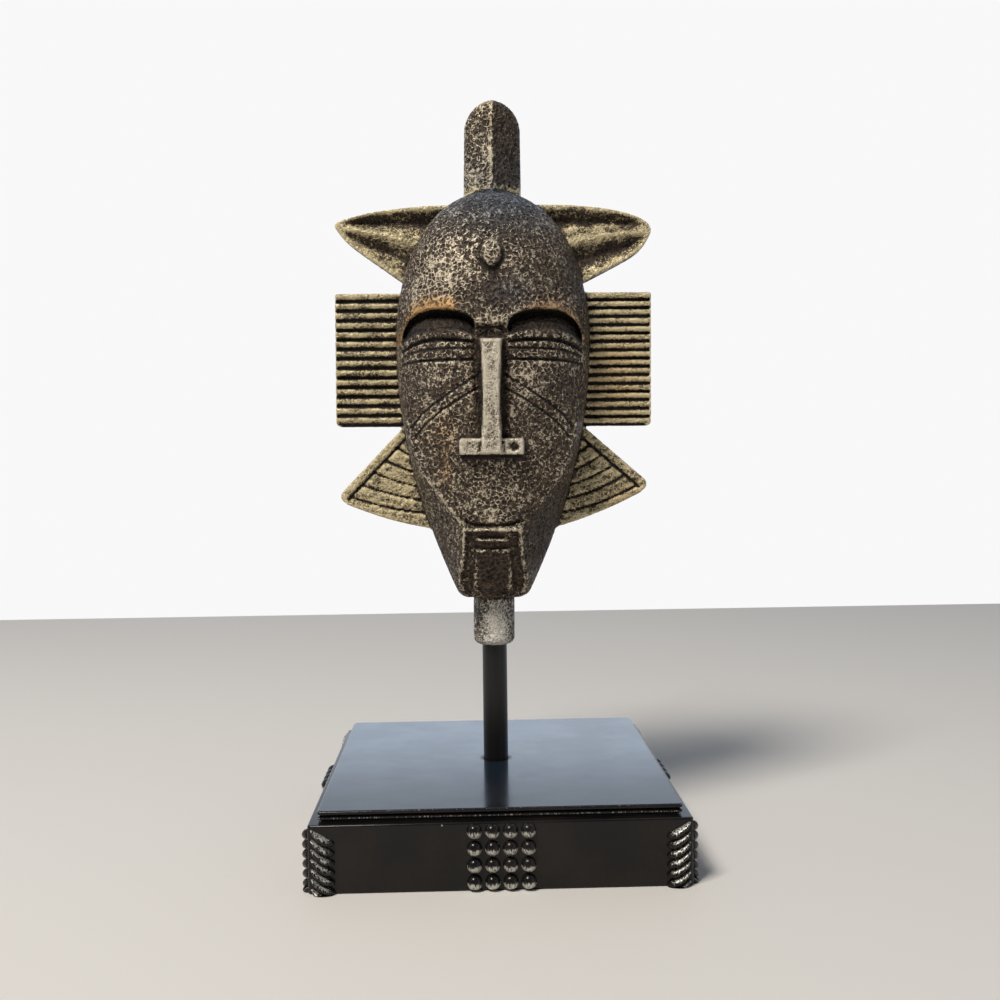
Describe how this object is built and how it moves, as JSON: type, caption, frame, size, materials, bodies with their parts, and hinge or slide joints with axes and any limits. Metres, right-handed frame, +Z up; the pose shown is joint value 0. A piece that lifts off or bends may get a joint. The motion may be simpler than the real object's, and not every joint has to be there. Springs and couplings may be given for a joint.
{
  "type": "mask sculpture",
  "caption": "Cast metal mask with closed eyes, a ridged crest, leaf wings, ribbed combs and rimmed fans, held on a round rod above a square black base with plaited corners and bead panels.",
  "frame": {"origin": "centre of the base's underside", "axes": "+Z up along the rod; the face looks along -Y; +X towards the viewer's right when facing the mask"},
  "size_m": [0.1578, 0.1578, 0.3293],
  "materials": {
    "old_bronze": "aged bronze, hammered; dark brown in the hollows and worn pale gold on the high spots",
    "black_steel": "satin black paint",
    "black_lacquer": "gloss black, with silver rubbed on the raised ornament"
  },
  "bodies": {
    "root": {"mask": "old_bronze", "rod": "black_steel", "base": "black_lacquer"}
  },
  "joints": []
}
